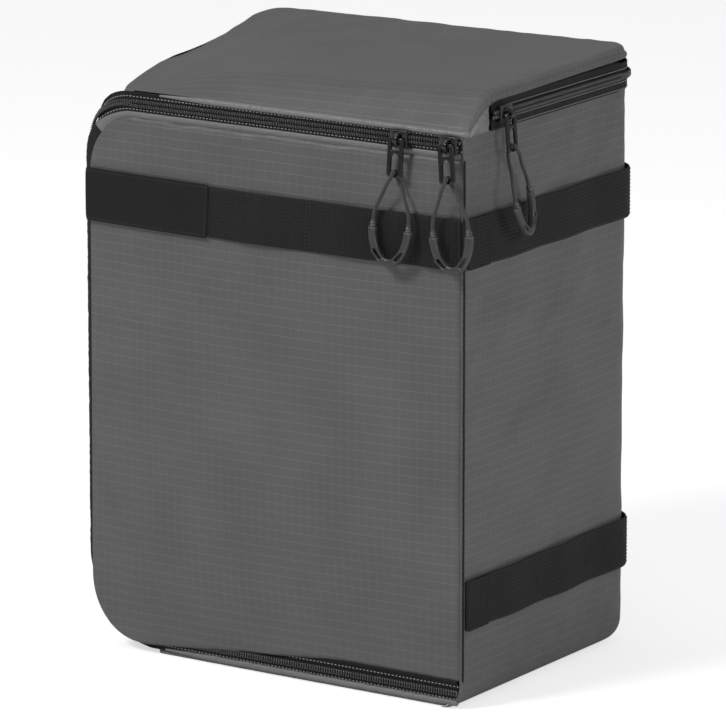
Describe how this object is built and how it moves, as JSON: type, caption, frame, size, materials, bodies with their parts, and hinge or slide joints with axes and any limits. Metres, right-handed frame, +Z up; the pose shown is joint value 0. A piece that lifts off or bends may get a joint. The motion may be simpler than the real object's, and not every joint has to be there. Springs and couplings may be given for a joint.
{
  "type": "camera bag insert",
  "caption": "Padded upright box insert with a zipped side-hinged front door, a zipped top lid, corded zip pulls, webbing bands and movable dividers.",
  "frame": {"origin": "centre of the flat underside", "axes": "+Z up, -Y the front with the door, +X the side with the door's hinge seam"},
  "size_m": [0.2874, 0.2086, 0.3644],
  "materials": {
    "ripstop": "matt grey ripstop weave",
    "foam": "closed cell foam board",
    "lining": "brushed loop lining",
    "hook_tape": "hook tape",
    "webbing": "ribbed black webbing",
    "zip_tape": "woven black zip tape",
    "zip_coil": "black nylon coil",
    "slider_metal": "gloss black painted zinc",
    "pull_cord": "grey woven cord",
    "pull_grip": "grey moulded rubber"
  },
  "bodies": {
    "shell": {"right_wall_skin": "ripstop", "back_wall_skin": "ripstop", "left_wall_skin": "ripstop", "base_skin": "ripstop", "right_wall_foam": "foam", "back_wall_foam": "foam", "left_wall_foam": "foam", "base_foam": "foam", "right_wall_lining": "lining", "back_wall_lining": "lining", "left_wall_lining": "lining", "base_lining": "lining", "top_front_rail": "ripstop", "hinge_piping": "zip_tape", "bottom_front_binding": "ripstop", "door_zip_tape_shell": "zip_tape", "door_zip_coil_shell": "zip_coil", "lid_zip_tape_shell": "zip_tape", "lid_zip_coil_shell": "zip_coil", "lid_zip_end_fold": "ripstop", "upper_webbing": "webbing", "lower_webbing": "webbing"},
    "door": {"door_skin": "ripstop", "door_foam": "foam", "door_lining": "lining", "door_zip_tape_door": "zip_tape", "door_zip_coil_door": "zip_coil", "door_webbing": "webbing", "label_patch": "webbing"},
    "lid": {"lid_skin": "ripstop", "lid_foam": "foam", "lid_lining": "lining", "lid_zip_tape_lid": "zip_tape", "lid_zip_coil_lid": "zip_coil"},
    "door_slider_left": {"door_slider_left": "slider_metal"},
    "door_slider_right": {"door_slider_right": "slider_metal"},
    "lid_slider": {"lid_slider": "slider_metal"},
    "door_pull_left": {"door_pull_left_tab": "slider_metal", "door_pull_left_grip": "pull_grip", "door_pull_left_cord": "pull_cord"},
    "door_pull_right": {"door_pull_right_tab": "slider_metal", "door_pull_right_grip": "pull_grip", "door_pull_right_cord": "pull_cord"},
    "lid_pull": {"lid_pull_tab": "slider_metal", "lid_pull_grip": "pull_grip", "lid_pull_cord": "pull_cord"},
    "shelf": {"shelf_divider": "lining", "shelf_hook_strip_left": "hook_tape", "shelf_hook_strip_right": "hook_tape"},
    "column_left": {"column_divider_left": "lining", "column_left_hook_strip_base": "hook_tape", "column_left_hook_strip_back": "hook_tape"},
    "column_right": {"column_divider_right": "lining", "column_right_hook_strip_base": "hook_tape", "column_right_hook_strip_back": "hook_tape"}
  },
  "joints": [
    {"name": "door_hinge", "type": "hinge", "parent": "shell", "child": "door", "pos_m": [0.1329, -0.0965, 0.1715], "axis": [0, 0, 1], "range_deg": [0, 110]},
    {"name": "lid_hinge", "type": "hinge", "parent": "shell", "child": "lid", "pos_m": [0, -0.094, 0.342], "axis": [1, 0, 0], "range_deg": [0, 150]},
    {"name": "door_slider_left_slide", "type": "slide", "parent": "door", "child": "door_slider_left", "axis": [-1, 0, 0], "range_m": [0, 0.18]},
    {"name": "door_slider_right_slide", "type": "slide", "parent": "door", "child": "door_slider_right", "axis": [-1, 0, 0], "range_m": [0, 0.003]},
    {"name": "lid_slider_slide", "type": "slide", "parent": "shell", "child": "lid_slider", "axis": [0, 1, 0], "range_m": [0, 0.12]},
    {"name": "door_pull_left_swing", "type": "hinge", "parent": "door_slider_left", "child": "door_pull_left", "pos_m": [0.09, -0.10215, 0.3345], "axis": [-1, 0, 0], "range_deg": [0, 120]},
    {"name": "door_pull_right_swing", "type": "hinge", "parent": "door_slider_right", "child": "door_pull_right", "pos_m": [0.1235, -0.10215, 0.3345], "axis": [-1, 0, 0], "range_deg": [0, 120]},
    {"name": "lid_pull_swing", "type": "hinge", "parent": "lid_slider", "child": "lid_pull", "pos_m": [0.14025, -0.06, 0.348], "axis": [0, -1, 0], "range_deg": [0, 120]},
    {"name": "shelf_slide", "type": "slide", "parent": "shell", "child": "shelf", "axis": [0, 0, 1], "range_m": [-0.05, 0.03]},
    {"name": "column_left_slide", "type": "slide", "parent": "shell", "child": "column_left", "axis": [1, 0, 0], "range_m": [-0.03, 0.03]},
    {"name": "column_right_slide", "type": "slide", "parent": "shell", "child": "column_right", "axis": [1, 0, 0], "range_m": [-0.03, 0.03]}
  ]
}
